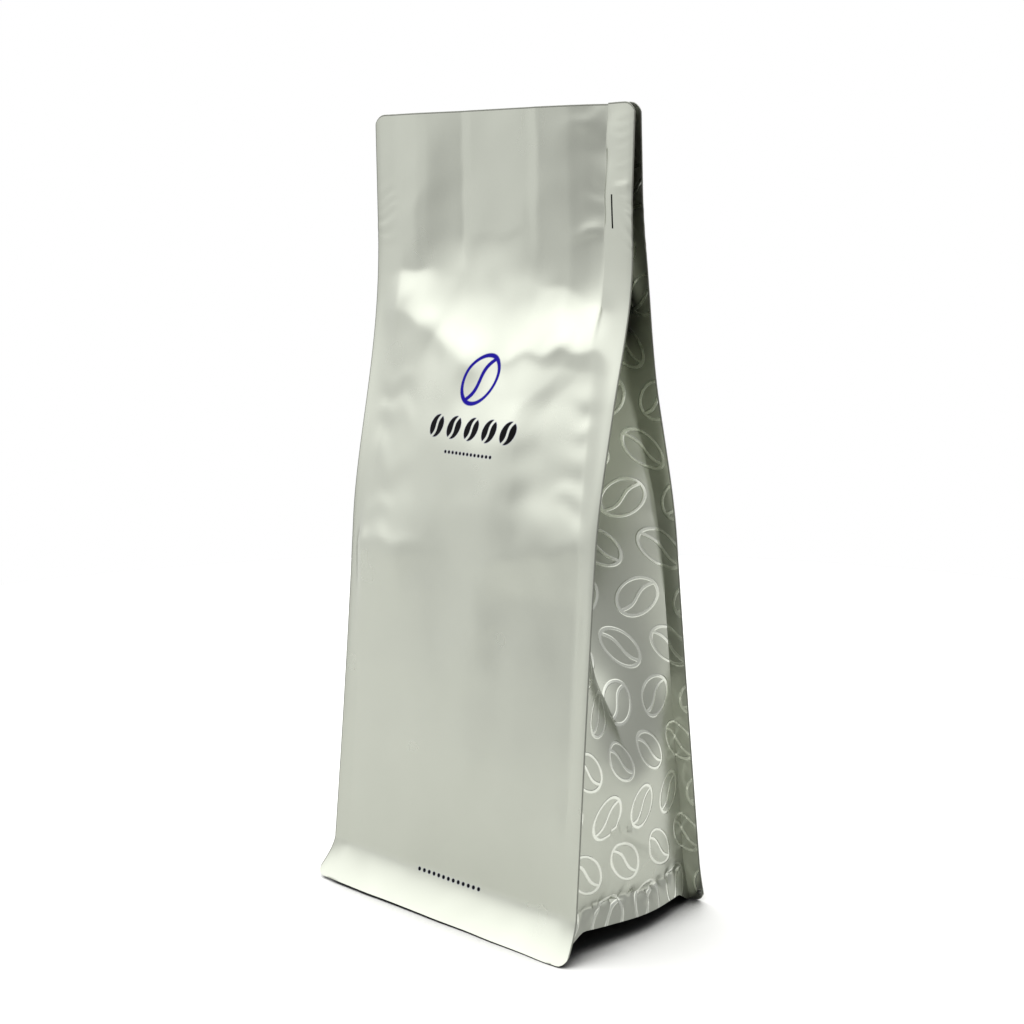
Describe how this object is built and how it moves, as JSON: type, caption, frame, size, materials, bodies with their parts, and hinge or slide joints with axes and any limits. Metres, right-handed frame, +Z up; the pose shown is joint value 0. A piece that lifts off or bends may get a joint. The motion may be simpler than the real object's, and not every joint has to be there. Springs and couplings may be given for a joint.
{
  "type": "foil coffee bag",
  "caption": "Matte silver foil coffee bag, shut and standing on a flat base, with side gussets folded in, seal fins at the corners, a flat header and a flared skirt.",
  "frame": {"origin": "on the floor under the middle of the bag", "axes": "+Z up the bag, -Y the way the front panel faces, +X to the right as seen from the front"},
  "size_m": [0.0992, 0.0636, 0.232],
  "materials": {
    "foil": "matte foil laminate with glossy varnish figures on the side gussets"
  },
  "bodies": {
    "root": {"bag": "foil"}
  },
  "joints": []
}
